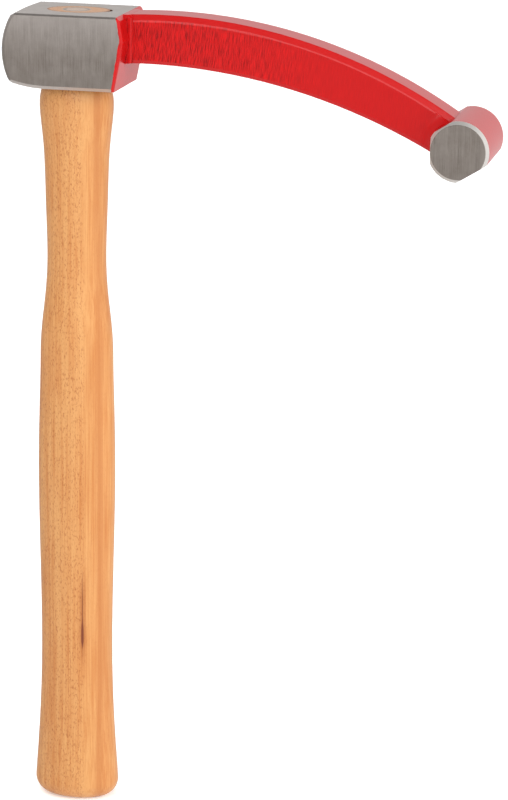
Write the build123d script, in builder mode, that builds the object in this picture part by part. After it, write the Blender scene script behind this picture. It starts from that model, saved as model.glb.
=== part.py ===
from build123d import *
import os
from math import sqrt

# A panel beater's wheel arch hammer: a forged steel head with a crowned block, a long curved arm and
# a cross drum, on an oval ash handle that is wedged into the block's eye. All sizes are in millimetres.
# +Z runs up the handle and +X runs from the block to the drum. The origin is where the handle's axis
# meets the top of the block. The head is the same on both sides of the XZ plane.

# Driving dimensions: the block
BLOCK_WIDTH = 37.6
BLOCK_HEIGHT = 29.8
CROWN_REACH = 26.7  # handle's axis to the middle of the crowned face
CROWN_RADIUS_UPRIGHT = 28.0  # in the XZ plane
CROWN_RADIUS_ACROSS = 200.0  # in the XY plane
END_TOP_REACH = 22.7  # handle's axis to the drafted end, at the top
END_PARTING_REACH = 24.2  # and at the forging's parting line
END_BOTTOM_REACH = 20.2  # and at the bottom
PARTING_DEPTH = 9.6
TOE_REACH = 8.0  # where the bottom starts to curve up towards the crown
TOE_RADIUS = 52.0
TOP_CHAMFER = 0.7
BOTTOM_CHAMFER = 1.4
CROWN_CHAMFER = 1.3
END_ROUND = 1.6  # on the drafted end's upright corners
END_TOP_BEVEL = 1.4  # along the drafted end's top edge

# Driving dimensions: the arm, between two arcs that are highest at their crests
ARM_TOP_CREST = (36.6, 0.3)
ARM_TOP_RADIUS = 217.2
ARM_BOTTOM_CREST = (29.9, -19.3)
ARM_BOTTOM_RADIUS = 244.8
ARM_WIDTH = 17.2
ARM_TOP_BEVEL = (1.6, 2.5)  # across the top, down the side
ARM_BOTTOM_BEVEL = (0.9, 1.4)
ARM_ROOT_RADIUS = 1.2
ARM_EDGE_ROUND = 0.5
ARM_RIDGE_ROUND = 1.5  # between the top bevel and the ground side
ARM_START_DEPTH = 6.0  # the arm's bar starts this far inside the block
ARM_TOP_END = 3.0  # and ends inside the drum, this far before its axis at the top
ARM_BOTTOM_END = 6.0  # and at the bottom

# Driving dimensions: the drum
DRUM_X = 158.4
DRUM_Z = -45.9
DRUM_RADIUS = 12.1
DRUM_LENGTH = 40.4
DRUM_CHAMFER = 1.35
# direction of each ground flat in degrees, and its distance from the drum's axis
DRUM_FLATS = ((180, 10.9), (-58, 9.9), (123, 11.4))
FLARE_RADIUS = 6.5
FLARE_START = 10.5  # from the drum's axis, just inside its flats

# Driving dimensions: the eye, the handle and the wedges
EYE_TOP = (12.8, 9.5)  # half axes of the oval
EYE_TOP_SHIFT = 0.8  # the eye widens more towards the arm
EYE_BOTTOM = (12.5, 9.1)
EYE_GAP = 1.2  # the wood doesn't fill the eye's arm end
HANDLE_LENGTH = 335.0
BUTT_ROUND = 7.5
# depth below the top of the block, and the half axes of the oval there
GRIP_STATIONS = (
    (BLOCK_HEIGHT, 13.3, 10.0),
    (35.6, 15.1, 11.4),
    (45.0, 14.7, 11.1),
    (61.0, 13.3, 10.1),
    (90.0, 12.4, 9.5),
    (119.0, 13.4, 10.0),
    (145.0, 15.3, 11.0),
    (165.0, 15.8, 11.3),
    (195.0, 16.2, 11.5),
    (235.0, 15.5, 11.3),
    (276.0, 15.2, 11.2),
    (311.0, 16.7, 12.0),
    (HANDLE_LENGTH, 18.2, 12.9),
)
WEDGE_DEPTH = 23.0
WEDGE_TOP_THICKNESS = 2.8
WEDGE_TIP_THICKNESS = 0.8
RING_RADIUS = 5.6
RING_WALL = 1.5
RING_DEPTH = 14.0
RING_TIP_WALL = 0.4

TOLERANCE = 0.01  # for telling edges apart


def on_arc(crest, radius, x):
    """The point at x of an arc in the XZ plane that is highest at its crest."""
    return (x, crest[1] - radius + sqrt(radius**2 - (x - crest[0]) ** 2))


def has_radius(radius):
    """Picks the round edges of one radius."""
    return lambda edge: edge.geom_type == GeomType.CIRCLE and abs(edge.radius - radius) < TOLERANCE


def has_bottom_arc(face):
    """Picks the faces that follow the arm's bottom arc."""
    return len(face.edges().filter_by(has_radius(ARM_BOTTOM_RADIUS))) == 2


def is_top_edge(edge):
    """Picks the block's long edges at its top."""
    box = edge.bounding_box()
    return box.min.Z > -END_ROUND and box.size.X > TOE_REACH


def is_bottom_edge(edge):
    """Picks the block's long edges at its bottom, the curved toe included."""
    box = edge.bounding_box()
    return box.max.Z < -BLOCK_HEIGHT / 2 and box.size.X > TOE_REACH


def is_end_corner(edge):
    """Picks the upright edges where the cheeks meet the block's drafted end."""
    box = edge.bounding_box()
    return box.size.Y < TOLERANCE and box.size.Z > END_ROUND and box.min.X > END_BOTTOM_REACH - END_ROUND


os.makedirs("parts", exist_ok=True)

# The block's end face, at the depth where the bottom of the arm leaves it
arm_root_z = ARM_BOTTOM_CREST[1]
draft_below = (END_PARTING_REACH - END_BOTTOM_REACH) / (BLOCK_HEIGHT - PARTING_DEPTH)
arm_root_x = END_PARTING_REACH - draft_below * (-arm_root_z - PARTING_DEPTH)

# The arm, as a bar between its two arcs. It starts inside the block and ends inside the drum.
arm_start = END_TOP_REACH - ARM_START_DEPTH
arm_top_end = DRUM_X - ARM_TOP_END
arm_bottom_end = DRUM_X - ARM_BOTTOM_END
with BuildPart() as arm:
    with BuildSketch(Plane.XZ) as arm_side:
        with BuildLine():
            top_start = on_arc(ARM_TOP_CREST, ARM_TOP_RADIUS, arm_start)
            top_middle = on_arc(ARM_TOP_CREST, ARM_TOP_RADIUS, (arm_start + arm_top_end) / 2)
            top_end = on_arc(ARM_TOP_CREST, ARM_TOP_RADIUS, arm_top_end)
            bottom_end = on_arc(ARM_BOTTOM_CREST, ARM_BOTTOM_RADIUS, arm_bottom_end)
            bottom_middle = on_arc(ARM_BOTTOM_CREST, ARM_BOTTOM_RADIUS, (arm_root_x + arm_bottom_end) / 2)
            root = on_arc(ARM_BOTTOM_CREST, ARM_BOTTOM_RADIUS, arm_root_x)
            heel = (arm_root_x - draft_below * 2 * ARM_ROOT_RADIUS, arm_root_z - 2 * ARM_ROOT_RADIUS)
            ThreePointArc(top_start, top_middle, top_end)
            Line(top_end, bottom_end)
            ThreePointArc(bottom_end, bottom_middle, root)
            Polyline(root, heel, (arm_start, heel[1]), top_start)
        make_face()
        fillet(arm_side.vertices().sort_by_distance(root)[0], ARM_ROOT_RADIUS)
    extrude(amount=ARM_WIDTH / 2, both=True)
    top_face = arm.faces().sort_by(Axis.Z)[-1]
    chamfer(
        top_face.edges().filter_by(has_radius(ARM_TOP_RADIUS)),
        length=ARM_TOP_BEVEL[0],
        length2=ARM_TOP_BEVEL[1],
        reference=top_face,
    )
    bottom_face = arm.faces().filter_by(has_bottom_arc).sort_by(Axis.Z)[0]
    chamfer(
        bottom_face.edges().filter_by(has_radius(ARM_BOTTOM_RADIUS)),
        length=ARM_BOTTOM_BEVEL[0],
        length2=ARM_BOTTOM_BEVEL[1],
        reference=bottom_face,
    )
    fillet(arm.edges().filter_by(has_radius(ARM_TOP_RADIUS)), ARM_EDGE_ROUND)
    fillet(arm.edges().filter_by(has_radius(ARM_TOP_RADIUS - ARM_TOP_BEVEL[1])), ARM_RIDGE_ROUND)

# The drum: a turned cylinder along Y with bevelled ends, ground flat on three sides
drum_plane = Plane(origin=(DRUM_X, 0, DRUM_Z), x_dir=(1, 0, 0), z_dir=(0, -1, 0))
with BuildPart() as drum:
    with BuildSketch(drum_plane):
        Circle(DRUM_RADIUS)
    extrude(amount=DRUM_LENGTH / 2, both=True)
    chamfer(drum.edges().filter_by(GeomType.CIRCLE), DRUM_CHAMFER)
    with BuildSketch(drum_plane):
        for direction, reach in DRUM_FLATS:
            with PolarLocations(reach + DRUM_RADIUS, 1, start_angle=direction):
                Rectangle(2 * DRUM_RADIUS, 4 * DRUM_RADIUS)
    extrude(amount=DRUM_LENGTH, both=True, mode=Mode.SUBTRACT)

# The drum's flare: the arm's sides widen into the drum around the drum's own axis
flare_plane = Plane(origin=(DRUM_X, 0, DRUM_Z), x_dir=(1, 0, 0), z_dir=(0, 0, 1))
flare_outer = FLARE_START + FLARE_RADIUS
flare_side = ARM_WIDTH / 2 + FLARE_RADIUS
with BuildPart() as flare:
    with BuildSketch(flare_plane) as flare_section:
        with BuildLine():
            Polyline(
                (FLARE_START, -flare_side),
                (0, -flare_side),
                (0, flare_side),
                (FLARE_START, flare_side),
            )
            RadiusArc((FLARE_START, flare_side), (flare_outer, ARM_WIDTH / 2), -FLARE_RADIUS)
            Line((flare_outer, ARM_WIDTH / 2), (flare_outer, -ARM_WIDTH / 2))
            RadiusArc((flare_outer, -ARM_WIDTH / 2), (FLARE_START, -flare_side), -FLARE_RADIUS)
        make_face()
    revolve(axis=Axis((DRUM_X, 0, DRUM_Z), (0, 1, 0)))
    with BuildSketch(Plane.XZ) as flare_side_view:
        with BuildLine():
            lowered = (ARM_TOP_CREST[0], ARM_TOP_CREST[1] - ARM_TOP_BEVEL[1])
            raised = (ARM_BOTTOM_CREST[0], ARM_BOTTOM_CREST[1] + ARM_BOTTOM_BEVEL[1])
            ledge_start = on_arc(lowered, ARM_TOP_RADIUS, DRUM_X - flare_outer)
            ledge_middle = on_arc(lowered, ARM_TOP_RADIUS, DRUM_X - flare_outer / 2)
            ledge_end = on_arc(lowered, ARM_TOP_RADIUS, DRUM_X)
            sill_end = on_arc(raised, ARM_BOTTOM_RADIUS, DRUM_X)
            sill_middle = on_arc(raised, ARM_BOTTOM_RADIUS, DRUM_X - flare_outer / 2)
            sill_start = on_arc(raised, ARM_BOTTOM_RADIUS, DRUM_X - flare_outer)
            ThreePointArc(ledge_start, ledge_middle, ledge_end)
            Line(ledge_end, sill_end)
            ThreePointArc(sill_end, sill_middle, sill_start)
            Line(sill_start, ledge_start)
        make_face()
    extrude(amount=flare_side, both=True, mode=Mode.INTERSECT)

# The arm's root: its sides widen into the block's end face
root_side = ARM_WIDTH / 2 + ARM_ROOT_RADIUS
root_reach = END_PARTING_REACH + ARM_ROOT_RADIUS
with BuildPart() as root_flare:
    with BuildSketch(Plane.XY) as root_plan:
        with BuildLine():
            Polyline(
                (END_PARTING_REACH, -root_side),
                (arm_start, -root_side),
                (arm_start, root_side),
                (END_PARTING_REACH, root_side),
            )
            RadiusArc((END_PARTING_REACH, root_side), (root_reach, ARM_WIDTH / 2), -ARM_ROOT_RADIUS)
            Line((root_reach, ARM_WIDTH / 2), (root_reach, -ARM_WIDTH / 2))
            RadiusArc((root_reach, -ARM_WIDTH / 2), (END_PARTING_REACH, -root_side), -ARM_ROOT_RADIUS)
        make_face()
    extrude(amount=arm_root_z)
    chamfer(root_flare.faces().sort_by(Axis.Z)[-1].edges(), ARM_TOP_BEVEL[1] / 2)

with BuildPart() as head:
    # the block's side view: a drafted end that is longest at the parting line, and a bottom that
    # curves up to the crown
    with BuildSketch(Plane.XZ) as block_side:
        with BuildLine():
            toe = (-TOE_REACH, -BLOCK_HEIGHT)
            past_crown = 2 * CROWN_REACH - TOE_REACH
            toe_rise = TOE_RADIUS - sqrt(TOE_RADIUS**2 - (past_crown - TOE_REACH) ** 2)
            toe_end = (-past_crown, toe_rise - BLOCK_HEIGHT)
            Polyline(
                toe,
                (END_BOTTOM_REACH, -BLOCK_HEIGHT),
                (END_PARTING_REACH, -PARTING_DEPTH),
                (END_TOP_REACH, -END_TOP_BEVEL),
                (END_TOP_REACH - END_TOP_BEVEL, 0),
                (-past_crown, 0),
                toe_end,
            )
            RadiusArc(toe_end, toe, -TOE_RADIUS)
        make_face()
    extrude(amount=BLOCK_WIDTH / 2, both=True)
    # the crowned face is rounder upright than across
    with BuildSketch(Plane.XZ) as crown_profile:
        crown_centre = (CROWN_RADIUS_UPRIGHT - CROWN_REACH, -BLOCK_HEIGHT / 2)
        with Locations(crown_centre):
            Circle(CROWN_RADIUS_UPRIGHT)
            Rectangle(2 * BLOCK_WIDTH, 2 * CROWN_RADIUS_UPRIGHT, align=(Align.MIN, Align.CENTER))
    crown_axis = Axis((CROWN_RADIUS_ACROSS - CROWN_REACH, 0, 0), (0, 0, 1))
    revolve(axis=crown_axis, mode=Mode.INTERSECT)
    chamfer(head.faces().sort_by(Axis.X)[0].edges(), CROWN_CHAMFER)
    # the cheeks' long edges, then the corners of the drafted end
    for picks, size in ((is_bottom_edge, BOTTOM_CHAMFER), (is_top_edge, TOP_CHAMFER)):
        cheeks = head.faces().filter_by(Axis.Y).sort_by(Axis.Y)
        chamfer(cheeks[0].edges().filter_by(picks) + cheeks[-1].edges().filter_by(picks), size)
    fillet(head.edges().filter_by(is_end_corner), END_ROUND)
    # the arm, its widened ends and the drum
    add(arm.part)
    add(root_flare.part)
    add(flare.part)
    add(drum.part)
    # the eye, an oval that widens upwards, with a gap left at the arm's end
    for gap in (0, EYE_GAP):
        with BuildSketch(Plane.XY) as eye_top:
            with Locations((EYE_TOP_SHIFT + gap, 0)):
                Ellipse(EYE_TOP[0], EYE_TOP[1] - 2 * gap)
        with BuildSketch(Plane.XY.offset(-BLOCK_HEIGHT)) as eye_bottom:
            with Locations((gap, 0)):
                Ellipse(EYE_BOTTOM[0], EYE_BOTTOM[1] - 2 * gap)
        loft(mode=Mode.SUBTRACT)
head.part.label = "head"
export_step(head.part, "parts/head.step")

# The steel ring wedge, sharp at its lower edge
with BuildPart() as ring_wedge:
    with BuildSketch(Plane.XZ) as ring_section:
        with BuildLine():
            tip_outer = RING_RADIUS - (RING_WALL - RING_TIP_WALL) / 2
            tip_inner = tip_outer - RING_TIP_WALL
            Polyline(
                (RING_RADIUS - RING_WALL, 0),
                (RING_RADIUS, 0),
                (tip_outer, -RING_DEPTH),
                (tip_inner, -RING_DEPTH),
                close=True,
            )
        make_face()
    revolve(axis=Axis.Z)
ring_wedge.part.label = "ring_wedge"
export_step(ring_wedge.part, "parts/ring_wedge.step")

# The wooden wedge's taper, which is also the shape that it opens in the handle's kerf
with BuildPart() as wedge_taper:
    with BuildSketch(Plane.YZ) as wedge_end:
        with BuildLine():
            Polyline(
                (-WEDGE_TOP_THICKNESS / 2, 0),
                (WEDGE_TOP_THICKNESS / 2, 0),
                (WEDGE_TIP_THICKNESS / 2, -WEDGE_DEPTH),
                (-WEDGE_TIP_THICKNESS / 2, -WEDGE_DEPTH),
                close=True,
            )
        make_face()
    extrude(amount=BLOCK_WIDTH / 2, both=True)

# The handle: a tenon that fills the eye, and a grip that swells twice
with BuildPart() as handle:
    with BuildSketch(Plane.XY) as tenon_top:
        with Locations((EYE_TOP_SHIFT, 0)):
            Ellipse(*EYE_TOP)
    with BuildSketch(Plane.XY.offset(-BLOCK_HEIGHT)) as tenon_bottom:
        Ellipse(*EYE_BOTTOM)
    loft()
    for depth, half_x, half_y in GRIP_STATIONS:
        with BuildSketch(Plane.XY.offset(-depth)):
            Ellipse(half_x, half_y)
    loft()
    fillet(handle.faces().sort_by(Axis.Z)[0].edges(), BUTT_ROUND)
    add(wedge_taper.part, mode=Mode.SUBTRACT)
    add(ring_wedge.part, mode=Mode.SUBTRACT)
handle.part.label = "handle"
export_step(handle.part, "parts/handle.step")

with BuildPart() as wooden_wedge:
    add(wedge_taper.part)
    with BuildSketch(Plane.XY) as wedge_outline_top:
        with Locations((EYE_TOP_SHIFT, 0)):
            Ellipse(*EYE_TOP)
    with BuildSketch(Plane.XY.offset(-BLOCK_HEIGHT)) as wedge_outline_bottom:
        Ellipse(*EYE_BOTTOM)
    loft(mode=Mode.INTERSECT)
    add(ring_wedge.part, mode=Mode.SUBTRACT)
wooden_wedge.part.label = "wooden_wedge"
export_step(wooden_wedge.part, "parts/wooden_wedge.step")
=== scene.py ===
from math import cos, radians, sin

import bpy
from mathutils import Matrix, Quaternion, Vector


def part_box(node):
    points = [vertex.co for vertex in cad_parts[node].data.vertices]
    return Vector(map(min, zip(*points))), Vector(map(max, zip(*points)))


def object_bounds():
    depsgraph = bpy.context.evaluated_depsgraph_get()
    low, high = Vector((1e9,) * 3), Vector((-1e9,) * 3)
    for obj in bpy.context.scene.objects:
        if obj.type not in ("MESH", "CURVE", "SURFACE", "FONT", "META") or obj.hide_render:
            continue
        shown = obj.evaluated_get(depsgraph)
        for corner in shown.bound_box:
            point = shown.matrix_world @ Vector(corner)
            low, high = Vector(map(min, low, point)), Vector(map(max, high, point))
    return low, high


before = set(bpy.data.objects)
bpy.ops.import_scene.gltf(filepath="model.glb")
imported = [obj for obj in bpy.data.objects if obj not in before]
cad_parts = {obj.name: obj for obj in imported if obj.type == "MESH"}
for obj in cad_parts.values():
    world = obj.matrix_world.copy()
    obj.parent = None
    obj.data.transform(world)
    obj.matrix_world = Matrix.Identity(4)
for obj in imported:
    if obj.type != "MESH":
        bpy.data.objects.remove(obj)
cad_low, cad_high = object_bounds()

# The looks of a wheel arch hammer: ground steel block, red painted arm and drum, ash handle.
# Lengths are in metres in the CAD's frame: +Z up the handle, +X from the block to the drum, and the
# hammer's front faces -Y. Colours are sRGB, 0 to 255. Frequencies are per metre along X, Y and Z.

MM = 0.001
NOISE_RANGE = (0.3, 0.7)  # where most of a noise's values lie

# Camera
CAMERA_AIM = Vector((0.0749, 0.0, -0.1560))
CAMERA_DISTANCE = 1.2227
CAMERA_AZIMUTH = radians(12.54)  # from straight in front towards the drum's side
CAMERA_ELEVATION = radians(15.07)
CAMERA_ROLL = radians(0.87)
CAMERA_LENS = 135.05  # in mm

# Soft suns: name, the way the light travels, power
SUNS = (
    ("overhead", (0.10, 0.35, -1.0), 1.3),
    ("front_right", (-1.0, 0.25, -0.35), 1.6),
    ("back_left", (0.7, -0.7, -0.3), 1.0),
)
SUN_SPREAD = radians(45)

# One softbox in front
SOFTBOX_PLACE = Vector((0.25, -1.3, 0.62))
SOFTBOX_AIM = Vector((0.07, 0.0, -0.05))
SOFTBOX_SIZE = (2.0, 1.05)
SOFTBOX_POWER = 17.0

# The surroundings' brightness along an axis: from, to, brightness at each.
# They are darker on the left, in front and overhead.
SURROUNDINGS = (
    ("X", -0.90, 0.10, 0.55, 1.00),
    ("Y", -0.95, -0.45, 0.26, 0.86),
    ("Z", 0.40, 0.85, 1.00, 0.20),
)

FLOOR_RADIUS = 15.0
FLOOR_SIDES = 96
FLOOR_GREY = 0.95  # linear
FLOOR_GLOW = 0.30  # emission strength

# The block, and the paint's border on it: its distance from the handle's axis at three heights
PARTING_Z = -9.6 * MM
BLOCK_BOTTOM_Z = -29.8 * MM
BORDER_TOP = 21.1 * MM
BORDER_PARTING = 22.6 * MM
BORDER_BOTTOM = 19.0 * MM
BORDER_WAVER = 0.5 * MM
BORDER_BLUR = 0.1 * MM

# The drum: bare steel on its two ends, each with a turned ring round it that is painted brighter than the
# face as a highlight
DRUM_END_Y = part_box("head")[1].y
DRUM_RING = 1.4 * MM
DRUM_RING_GAP = 0.1 * MM  # from the ring to the ground face
DRUM_BLUR = 0.05 * MM
DRUM_SIDE_X = 100.0 * MM  # the drum lies beyond this, and the block before it

# Steel
STEEL_LIGHT = (226, 217, 211)
STEEL_DARK = (160, 149, 140)
# bare turned steel, painted lighter than the ground face as a highlight
STEEL_TURNED_HIGHLIGHT = (242, 237, 232)
GRINDING_LINES = (6400.0, 2400.0, 80.0)
STEEL_BLOTCHES = (160.0, 160.0, 160.0)
# painted shade: the ground steel is painted darkest from here down
STEEL_SHADE_Z = 0.6 * BLOCK_BOTTOM_Z  # darkest from here down

# Paint
PAINT_RED = (188, 8, 9)
PAINT_DEEP = (112, 0, 1)
MARKS = (3200.0, 0.0, 200.0)
MARKS_LEAN = 0.12  # how far the marks lean towards +X for each metre of height
MARKS_STRONG_X = 50.0 * MM
MARKS_WEAK_X = 105.0 * MM
PAINT_UNEVEN = (700.0, 700.0, 700.0)
PAINT_WAVER = (300.0, 300.0, 300.0)
HEAD_RELIEF = 0.12 * MM

# Ash
ASH_PALE = (199, 143, 83)
ASH_WARM = (182, 114, 53)
ASH_FLECK = (152, 80, 24)
ASH_STRIPE = (176, 109, 51)
# dark brown: painted shade with dirt under the block, and the end grain's darker rim
ASH_DIRT_AND_SHADE = (136, 86, 48)
MINERAL = (112, 46, 14)
WANDER_GRAIN = (25.0, 25.0, 5.0)
STREAK_GRAIN = (500.0, 500.0, 5.0)
FIBRE_GRAIN = (1500.0, 1500.0, 25.0)
PATCHES = (80.0, 80.0, 22.0)
TICKS = (1500.0, 1500.0, 700.0)
PORES = (1500.0, 1500.0, 380.0)
GRAIN_WANDER = 1.2 * MM  # how far the grain strays to each side
GRAIN_TURN = 0.3  # how far it moves towards -X for each metre along +Y
FLECKED_UNTIL = (1.0 * MM, 3.5 * MM)  # across the grain: fully flecked before, only a little after
WARMER_X = (4.0 * MM, 15.0 * MM)  # the wood gets warmer between these
ASH_RELIEF = 0.06 * MM

# The orange stripe along the handle, across the grain
STRIPE_PLACE = 9.2 * MM
STRIPE_HALF = (0.4 * MM, 3.0 * MM)  # full strength within, gone beyond
STRIPE_DRIFT = 1.0 * MM
DRIFT_GRAIN = (0.0, 0.0, 9.0)

# The mineral streak on the handle's front: a hairline that swells towards its lower end
MINERAL_X = 5.3 * MM
MINERAL_THIN = 0.16 * MM
MINERAL_THICK = 0.50 * MM
MINERAL_HALO = 1.8 * MM
MINERAL_EDGE = 0.15 * MM
MINERAL_SWELLS_Z = (-259.0 * MM, -252.0 * MM)
MINERAL_ENDS_Z = (-267.0 * MM, -263.0 * MM)
MINERAL_FADES_UP_Z = (-244.0 * MM, -230.0 * MM)
MINERAL_FADES_DOWN_Z = (-276.0 * MM, -264.0 * MM)

# Darker wood under the block: painted shade, with some dirt
COLLAR_DEPTH = 5.0 * MM
COLLAR_UNEVEN = 2.0 * MM

# The handle's end in the eye, and the two wedges in it
EYE_CENTRE_X = 0.8 * MM
EYE_HALF_X = 12.8 * MM
EYE_HALF_Y = 9.5 * MM
RING_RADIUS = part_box("ring_wedge")[1].x
SMEARED_UNTIL = (RING_RADIUS - 0.3 * MM, RING_RADIUS + 0.9 * MM)  # from the handle's axis
END_Z = (-0.4 * MM, -0.1 * MM)  # the cut end's look sets in between these
END_GRAIN = (184, 134, 92)
END_SMEARED = (176, 158, 144)
WEDGE_WOOD = (180, 136, 94)
RING_DARK = (190, 176, 166)
RING_LIGHT = (226, 214, 204)
RING_MOTTLE = (700.0, 700.0, 700.0)
RING_RELIEF = 0.05 * MM


def linear(colour):
    """An sRGB colour from 0 to 255 as Blender's linear colour with alpha."""
    parts = [c / 255 for c in colour]
    return [c / 12.92 if c <= 0.04045 else ((c + 0.055) / 1.055) ** 2.4 for c in parts] + [1.0]


class Nodes:
    """Adds nodes to a node tree. A value may be a number, a colour or another node's output."""

    def __init__(self, tree):
        self.tree = tree

    def new(self, kind):
        return self.tree.nodes.new("ShaderNode" + kind)

    def link(self, value, socket):
        if isinstance(value, bpy.types.NodeSocket):
            self.tree.links.new(value, socket)
        else:
            socket.default_value = value

    def split(self, vector):
        node = self.new("SeparateXYZ")
        self.link(vector, node.inputs[0])
        return node.outputs

    def join(self, x, y, z):
        node = self.new("CombineXYZ")
        for value, socket in zip((x, y, z), node.inputs):
            self.link(value, socket)
        return node.outputs[0]

    def math(self, operation, *values):
        node = self.new("Math")
        node.operation = operation
        for value, socket in zip(values, node.inputs):
            self.link(value, socket)
        return node.outputs[0]

    def plus(self, a, b):
        return self.math("ADD", a, b)

    def minus(self, a, b):
        return self.math("SUBTRACT", a, b)

    def times(self, a, b):
        return self.math("MULTIPLY", a, b)

    def squared(self, value):
        return self.math("POWER", value, 2.0)

    def magnitude(self, value):
        """The value without its sign."""
        return self.math("ABSOLUTE", value)

    def span(self, value, low, high, to_low=0.0, to_high=1.0, smooth=False):
        """Maps low..high to to_low..to_high, and holds outside it."""
        node = self.new("MapRange")
        node.interpolation_type = "SMOOTHSTEP" if smooth else "LINEAR"
        keys = ("Value", "From Min", "From Max", "To Min", "To Max")
        for key, part in zip(keys, (value, low, high, to_low, to_high)):
            self.link(part, node.inputs[key])
        return node.outputs["Result"]

    def vary(self, noise, low, high):
        """Maps a noise's usual range to low..high."""
        return self.span(noise, *NOISE_RANGE, low, high)


class Shader(Nodes):
    """Builds one material around a Principled BSDF."""

    def __init__(self, name):
        self.material = bpy.data.materials.new(name)
        self.material.use_nodes = True
        super().__init__(self.material.node_tree)
        self.surface = self.tree.nodes["Principled BSDF"]
        self.position = self.new("TexCoord").outputs["Object"]
        self.x, self.y, self.z = self.split(self.position)

    def stretch(self, frequency, vector=None):
        """The position, or another vector, scaled along each axis."""
        node = self.new("VectorMath")
        node.operation = "MULTIPLY"
        self.link(self.position if vector is None else vector, node.inputs[0])
        node.inputs[1].default_value = frequency
        return node.outputs[0]

    def noise(self, frequency, detail=2.0, roughness=0.5, vector=None):
        node = self.new("TexNoise")
        self.link(self.stretch(frequency, vector), node.inputs["Vector"])
        node.inputs["Scale"].default_value = 1.0
        node.inputs["Detail"].default_value = detail
        node.inputs["Roughness"].default_value = roughness
        return node.outputs["Fac"]

    def cells(self, frequency):
        """The distance to the nearest of many scattered points."""
        node = self.new("TexVoronoi")
        self.link(self.stretch(frequency), node.inputs["Vector"])
        node.inputs["Scale"].default_value = 1.0
        return node.outputs["Distance"]

    def mix(self, factor, a, b):
        """Mixes two colours."""
        node = self.new("Mix")
        node.data_type = "RGBA"
        for index, value in ((0, factor), (6, a), (7, b)):
            self.link(value, node.inputs[index])
        return node.outputs[2]

    def blend(self, factor, a, b):
        """Mixes two numbers."""
        node = self.new("Mix")
        for index, value in ((0, factor), (2, a), (3, b)):
            self.link(value, node.inputs[index])
        return node.outputs[0]

    def bump(self, height, depth):
        """Raises the surface by up to depth."""
        node = self.new("Bump")
        node.inputs["Strength"].default_value = 1.0
        node.inputs["Distance"].default_value = depth
        self.link(height, node.inputs["Height"])
        return node.outputs["Normal"]

    def set(self, **inputs):
        """Sets the Principled BSDF's inputs, with _ for a space in a name, and gives the material."""
        for name, value in inputs.items():
            self.link(value, self.surface.inputs[name.replace("_", " ")])
        return self.material


def past_drum_ring(s):
    """How far out a point is, counted from the inner edge of the drum's ring."""
    return s.minus(s.magnitude(s.y), DRUM_END_Y - DRUM_RING)


def bare_drum(s):
    """Where the drum is bare: its end faces and their rings."""
    beyond = s.math("GREATER_THAN", s.x, DRUM_SIDE_X)
    return s.times(s.span(past_drum_ring(s), -DRUM_BLUR, DRUM_BLUR), beyond)


def paint_cover(s, bare):
    """Where the paint is: past its border on the block, and not on the drum's ends."""
    upper = s.span(s.z, PARTING_Z, 0.0, BORDER_PARTING, BORDER_TOP)
    lower = s.span(s.z, BLOCK_BOTTOM_Z, PARTING_Z, BORDER_BOTTOM, BORDER_PARTING)
    waver = s.span(s.noise(PAINT_WAVER), 0.0, 1.0, -BORDER_WAVER, BORDER_WAVER)
    past_border = s.minus(s.plus(s.x, waver), s.math("MINIMUM", upper, lower))
    return s.times(s.span(past_border, -BORDER_BLUR, BORDER_BLUR), s.minus(1.0, bare))


def ground_steel(s, upward, bare):
    """Fine upright grinding lines and a slow change of tone, with painted shade towards the bottom, painted
    light on faces turned up and down, and a painted highlight on the drum's turned ring. Gives colour,
    roughness and height.
    """
    lines = s.noise(GRINDING_LINES, detail=3.0, roughness=0.75)
    blotches = s.noise(STEEL_BLOTCHES, detail=5.0, roughness=0.65)
    # painted shade: the steel darkens from the block's top towards its bottom
    tone = s.plus(s.times(s.span(s.z, STEEL_SHADE_Z, 0.0), 0.5), s.vary(lines, 0.0, 0.34))
    tone = s.plus(tone, s.vary(blotches, -0.1, 0.1))
    # painted light: faces turned up are a little lighter, faces turned down much lighter
    tone = s.plus(tone, s.span(upward, 0.8, 0.95, 0.0, 0.15))
    tone = s.plus(tone, s.span(upward, -0.6, -0.3, 0.75, 0.0))
    colour = s.mix(tone, linear(STEEL_DARK), linear(STEEL_LIGHT))

    # the drum's turned ring: bare steel whose lighter colour is a painted highlight
    on_ring = s.times(bare, s.math("LESS_THAN", past_drum_ring(s), DRUM_RING - DRUM_RING_GAP))
    colour = s.mix(on_ring, colour, linear(STEEL_TURNED_HIGHLIGHT))
    roughness = s.blend(on_ring, s.vary(lines, 0.34, 0.50), 0.55)
    return colour, roughness, s.times(lines, 0.30)


def red_paint(s, sideward):
    """Paint over the grinding marks of the arm's sides, deepest near the block. Gives colour and height."""
    leaning = s.minus(s.x, s.times(s.z, MARKS_LEAN))
    marks = s.noise(MARKS, detail=3.0, roughness=0.6, vector=s.join(leaning, 0.0, s.z))
    strength = s.span(s.x, MARKS_STRONG_X, MARKS_WEAK_X, 1.6, 0.2)
    on_side = s.span(s.magnitude(sideward), 0.9, 0.99)
    marks = s.times(s.times(s.minus(marks, 0.5), strength), on_side)
    uneven = s.times(s.noise(PAINT_UNEVEN, detail=3.0), 0.35)
    colour = s.mix(s.span(marks, -0.20, 0.08), linear(PAINT_DEEP), linear(PAINT_RED))
    return colour, s.plus(s.plus(s.times(marks, 1.1), uneven), 0.6)


def head_material():
    """Ground bare steel on the block and the drum's end faces, gloss red paint over the rest."""
    s = Shader("head_steel_and_paint")
    _, sideward, upward = s.split(s.new("NewGeometry").outputs["Normal"])
    bare = bare_drum(s)
    painted = paint_cover(s, bare)
    steel, steel_roughness, steel_height = ground_steel(s, upward, bare)
    paint, paint_height = red_paint(s, sideward)
    return s.set(
        Base_Color=s.mix(painted, steel, paint),
        Metallic=s.minus(1.0, painted),
        Roughness=s.blend(painted, steel_roughness, 0.30),
        Specular_IOR_Level=0.25,
        Coat_Weight=s.times(painted, 0.25),
        Coat_Roughness=0.10,
        Normal=s.bump(s.blend(painted, steel_height, paint_height), HEAD_RELIEF),
    )


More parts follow.
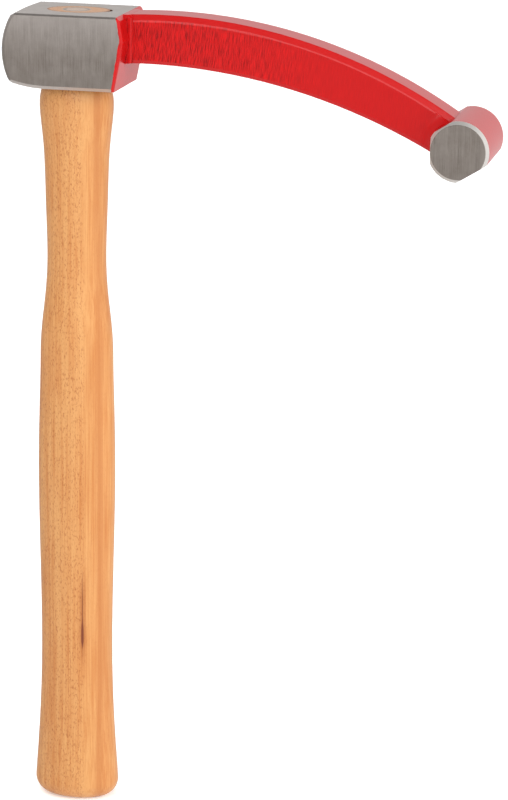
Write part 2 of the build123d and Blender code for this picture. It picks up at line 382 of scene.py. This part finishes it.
def orange_stripe(s, wood, across, streaks):
    """The broad stripe along the handle."""
    drift = s.vary(s.noise(DRIFT_GRAIN, detail=1.0), -STRIPE_DRIFT, STRIPE_DRIFT)
    distance = s.magnitude(s.minus(s.plus(across, drift), STRIPE_PLACE))
    stripe = s.span(distance, *STRIPE_HALF, 0.85, 0.0, smooth=True)
    return s.mix(s.times(stripe, s.span(streaks, 0.35, 0.65, 0.65, 1.0)), wood, linear(ASH_STRIPE))


def mineral_streak(s, wood):
    """The short dark streak on the handle's front, in a warm halo."""
    half = s.span(s.z, *MINERAL_SWELLS_Z, MINERAL_THICK, MINERAL_THIN, smooth=True)
    half = s.times(half, s.span(s.z, *MINERAL_ENDS_Z))
    inside = s.minus(half, s.magnitude(s.minus(s.x, MINERAL_X)))
    shown = s.times(s.math("LESS_THAN", s.y, 0.0), s.span(s.z, *MINERAL_FADES_UP_Z, 1.0, 0.0))
    shown = s.times(shown, s.span(s.z, *MINERAL_FADES_DOWN_Z))
    halo = s.span(inside, -MINERAL_HALO, 0.0, 0.0, 0.5, smooth=True)
    wood = s.mix(s.times(halo, shown), wood, linear(ASH_FLECK))
    streak = s.span(inside, -MINERAL_EDGE, MINERAL_EDGE)
    return s.mix(s.times(streak, shown), wood, linear(MINERAL))


def shaded_soiled_collar(s, wood, ticks):
    """The darker wood just under the block: painted shade, with some dirt."""
    height = s.plus(s.z, s.span(ticks, 0.0, 1.0, -COLLAR_UNEVEN, COLLAR_UNEVEN))
    # painted shade under the block, with some dirt
    shade_and_dirt = s.span(height, BLOCK_BOTTOM_Z - COLLAR_DEPTH, BLOCK_BOTTOM_Z, 0.0, 0.6)
    return s.mix(shade_and_dirt, wood, linear(ASH_DIRT_AND_SHADE))


def cut_end(s, wood, ticks):
    """The end grain in the eye: browner at its rim, and smeared grey inside the ring wedge."""
    along = s.squared(s.math("DIVIDE", s.minus(s.x, EYE_CENTRE_X), EYE_HALF_X))
    rim = s.plus(along, s.squared(s.math("DIVIDE", s.y, EYE_HALF_Y)))
    core = s.math("SQRT", s.plus(s.squared(s.x), s.squared(s.y)))
    smeared = s.span(core, *SMEARED_UNTIL, 0.85, 0.0)
    cut = s.mix(s.span(rim, 0.80, 0.97), linear(END_GRAIN), linear(ASH_DIRT_AND_SHADE))
    cut = s.mix(smeared, cut, linear(END_SMEARED))
    cut = s.mix(s.times(ticks, 0.4), cut, linear(ASH_FLECK))
    return s.mix(s.span(s.z, *END_Z), wood, cut)


def ash_material(name, pale, warm):
    """Lacquered ash with its grain along Z: flecked on one side, in long straight streaks on the other."""
    s = Shader(name)
    wander = s.vary(s.noise(WANDER_GRAIN), -GRAIN_WANDER, GRAIN_WANDER)
    across = s.plus(s.plus(s.x, s.times(s.y, GRAIN_TURN)), wander)

    # the wood's own tone
    streaks = s.noise(STREAK_GRAIN, detail=5.0, roughness=0.6)
    fibres = s.noise(FIBRE_GRAIN, detail=3.0, roughness=0.6)
    patches = s.noise(PATCHES, detail=4.0, roughness=0.6)
    tone = s.plus(s.vary(streaks, -0.1, 0.55), s.vary(patches, -0.25, 0.35))
    tone = s.plus(tone, s.span(fibres, 0.35, 0.65, -0.30, 0.40))
    tone = s.plus(tone, s.span(s.x, *WARMER_X, 0.0, 0.35))
    wood = s.mix(tone, linear(pale), linear(warm))
    wood = orange_stripe(s, wood, across, streaks)

    # flecks: short ticks along the grain, and a sparser set of open pores
    flecked = s.blend(s.span(across, *FLECKED_UNTIL, 1.0, 0.0, smooth=True), 0.2, 1.0)
    ticks = s.times(s.span(s.noise(TICKS, detail=3.0, roughness=0.7), 0.52, 0.68), flecked)
    pores = s.times(s.span(s.cells(PORES), 0.08, 0.26, 1.0, 0.0), flecked)
    wood = s.mix(s.times(ticks, 0.75), wood, linear(ASH_FLECK))
    wood = s.mix(s.times(pores, 0.70), wood, linear(ASH_FLECK))

    wood = mineral_streak(s, wood)
    wood = shaded_soiled_collar(s, wood, ticks)
    wood = cut_end(s, wood, ticks)

    height = s.minus(s.times(streaks, 0.3), s.times(ticks, 0.5))
    return s.set(
        Base_Color=wood,
        Roughness=s.vary(fibres, 0.42, 0.55),
        Coat_Weight=0.25,
        Coat_Roughness=0.30,
        Normal=s.bump(height, ASH_RELIEF),
    )


def wedge_steel_material():
    """Mottled steel of the ring wedge."""
    s = Shader("wedge_steel")
    mottle = s.noise(RING_MOTTLE, detail=4.0, roughness=0.6)
    return s.set(
        Base_Color=s.mix(mottle, linear(RING_DARK), linear(RING_LIGHT)),
        Metallic=1.0,
        Roughness=s.vary(mottle, 0.40, 0.60),
        Normal=s.bump(mottle, RING_RELIEF),
    )


def dress(node, material):
    """Gives a CAD node its material."""
    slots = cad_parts[node].data.materials
    slots.clear()
    slots.append(material)


def make_stage():
    """A plain white floor, level with the end of the handle."""
    bpy.ops.mesh.primitive_circle_add(
        vertices=FLOOR_SIDES, radius=FLOOR_RADIUS, fill_type="NGON", location=(0, 0, cad_low[2])
    )
    floor = bpy.context.object
    floor.name = "studio_floor"
    material = Shader("floor_white").set(
        Base_Color=(FLOOR_GREY, FLOOR_GREY, FLOOR_GREY, 1.0),
        Roughness=0.9,
        Specular_IOR_Level=0.0,
        Emission_Color=(1.0, 1.0, 1.0, 1.0),
        Emission_Strength=FLOOR_GLOW,
    )
    floor.data.materials.append(material)
    floor.visible_glossy = False


def add_lamp(light, direction):
    """Adds a light that shines along direction."""
    lamp = bpy.data.objects.new(light.name, light)
    lamp.rotation_euler = Vector(direction).to_track_quat("-Z", "Y").to_euler()
    bpy.context.scene.collection.objects.link(lamp)
    return lamp


def make_lights():
    """A softbox in front, and three very soft suns that don't show in reflections."""
    for name, direction, power in SUNS:
        sun = bpy.data.lights.new(name, "SUN")
        sun.energy = power
        sun.angle = SUN_SPREAD
        add_lamp(sun, direction).visible_glossy = False

    softbox = bpy.data.lights.new("softbox_front", "AREA")
    softbox.shape = "RECTANGLE"
    softbox.size, softbox.size_y = SOFTBOX_SIZE
    softbox.energy = SOFTBOX_POWER
    add_lamp(softbox, SOFTBOX_AIM - SOFTBOX_PLACE).location = SOFTBOX_PLACE


def make_surroundings():
    """Plain white surroundings with an uneven brightness."""
    world = bpy.data.worlds.new("studio")
    world.use_nodes = True
    nodes = Nodes(world.node_tree)
    direction = nodes.split(nodes.new("TexCoord").outputs["Generated"])
    brightness = 1.0
    for axis, low, high, at_low, at_high in SURROUNDINGS:
        shade = nodes.span(direction[axis], low, high, at_low, at_high, smooth=True)
        brightness = nodes.times(shade, brightness)
    background = world.node_tree.nodes["Background"]
    background.inputs["Color"].default_value = (1.0, 1.0, 1.0, 1.0)
    nodes.link(brightness, background.inputs["Strength"])
    bpy.context.scene.world = world


def make_camera():
    """The camera stands in front of the hammer, a little above it and to its drum's side."""
    data = bpy.data.cameras.new("camera")
    data.lens = CAMERA_LENS
    camera = bpy.data.objects.new("camera", data)
    level = cos(CAMERA_ELEVATION)
    outward = Vector((sin(CAMERA_AZIMUTH) * level, -cos(CAMERA_AZIMUTH) * level, sin(CAMERA_ELEVATION)))
    camera.location = CAMERA_AIM + CAMERA_DISTANCE * outward
    turn = (-outward).to_track_quat("-Z", "Y") @ Quaternion((0, 0, 1), CAMERA_ROLL)
    camera.rotation_euler = turn.to_euler()
    bpy.context.scene.collection.objects.link(camera)
    bpy.context.scene.camera = camera


dress("head", head_material())
dress("handle", ash_material("handle_ash", ASH_PALE, ASH_WARM))
dress("wooden_wedge", ash_material("wedge_wood", WEDGE_WOOD, ASH_WARM))
dress("ring_wedge", wedge_steel_material())
make_stage()
make_lights()
make_surroundings()
make_camera()
bpy.context.scene.view_settings.view_transform = "Standard"
